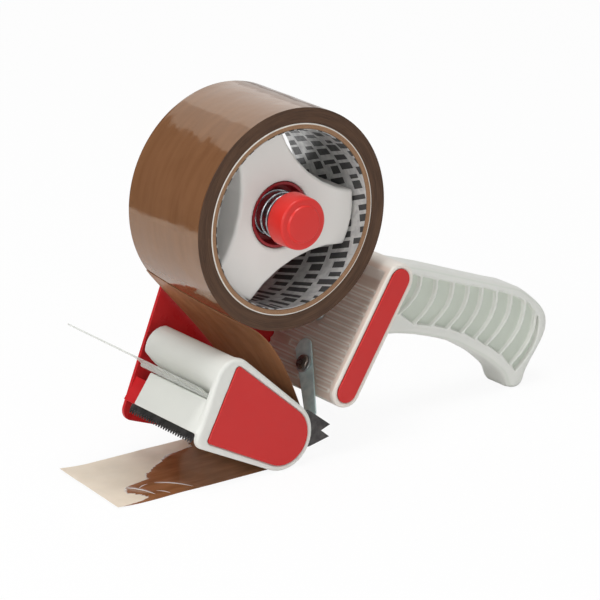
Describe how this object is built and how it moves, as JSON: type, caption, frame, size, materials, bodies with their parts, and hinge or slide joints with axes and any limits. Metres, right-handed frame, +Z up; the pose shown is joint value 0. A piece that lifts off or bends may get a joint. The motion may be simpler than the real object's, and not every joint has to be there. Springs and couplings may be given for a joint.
{
  "type": "packing tape dispenser",
  "caption": "hand-held packing tape gun with side plate, nose guard with toothed blade and flap, guide roller, spring-braked reel hub with a roll of tape, and ribbed handle",
  "frame": {"origin": "middle of the bounding box's base, on the table that the dispenser stands on", "axes": "+X towards the handle's butt, the longest extent; +Y from the open knob side to the side plate, along the reel axis; +Z up"},
  "size_m": [0.2391, 0.0678, 0.1539],
  "materials": {
    "red_paint": "satin red enamel on sheet steel",
    "pale_plastic": "moulded, semi-gloss off-white",
    "red_plastic": "moulded, semi-gloss red",
    "knob_red": "moulded, glossy orange-red",
    "blade_steel": "blackened spring steel",
    "zinc_plate": "bright zinc plate",
    "clear_plastic": "clear flexible sheet",
    "roller_plastic": "moulded grey",
    "dark_steel": "dark oxide",
    "brown_tape": "glossy brown film",
    "kraft_board": "wound kraft board",
    "liner_foil": "bare silver-grey paper",
    "spring_steel": "bright drawn wire",
    "brass": "turned"
  },
  "bodies": {
    "frame": {"side_plate": "red_paint", "nose_guard": "pale_plastic", "guard_inlay": "red_plastic", "blade": "blade_steel", "blade_rivet_1": "zinc_plate", "blade_rivet_2": "zinc_plate", "roller_axle": "zinc_plate", "tape_catch": "dark_steel", "tape_web": "brown_tape", "hub_shaft": "zinc_plate", "shaft_washer": "zinc_plate", "shaft_nut": "zinc_plate", "brake_spring": "spring_steel", "rear_housing": "pale_plastic", "housing_inlay": "red_plastic", "plate_screw_1": "zinc_plate", "plate_screw_2": "zinc_plate", "handle_grip": "pale_plastic", "handle_screw_1": "zinc_plate", "handle_screw_2": "zinc_plate", "backstop_leaf": "zinc_plate", "leaf_washer": "zinc_plate", "leaf_screw": "zinc_plate"},
    "reel": {"reel_hub": "pale_plastic", "brake_cup": "red_plastic", "tape_roll": "brown_tape", "tape_core": "kraft_board", "core_liner": "liner_foil"},
    "roller": {"guide_roller": "roller_plastic"},
    "spring_seat": {"spring_washer": "zinc_plate"},
    "knob": {"knob": "knob_red", "knob_insert": "brass"},
    "flap": {"flap": "clear_plastic"}
  },
  "joints": [
    {"name": "reel_spin", "type": "hinge", "parent": "frame", "child": "reel", "pos_m": [-0.03155, 0, 0.1066], "axis": [0, 1, 0], "continuous": true},
    {"name": "roller_spin", "type": "hinge", "parent": "frame", "child": "roller", "pos_m": [-0.04005, 0, 0.0151], "axis": [0, 1, 0], "continuous": true},
    {"name": "washer_slide", "type": "slide", "parent": "frame", "child": "spring_seat", "axis": [0, 1, 0], "range_m": [-0.002, 0.002], "deforming": ["brake_spring"]},
    {"name": "knob_turn", "type": "hinge", "parent": "spring_seat", "child": "knob", "pos_m": [-0.03155, 0, 0.1066], "axis": [0, 1, 0], "range_deg": [-720, 720]},
    {"name": "flap_swing", "type": "hinge", "parent": "frame", "child": "flap", "pos_m": [-0.07359, 0, 0.03866], "axis": [0, 1, 0], "range_deg": [-45, 10], "stiffness_Nm_per_rad": 0.03}
  ],
  "couplings": [
    {"joint": "roller_spin", "follows": "reel_spin", "ratio": -3.2586},
    {"joint": "washer_slide", "follows": "knob_turn", "m_per_rad": 0.00015915}
  ]
}
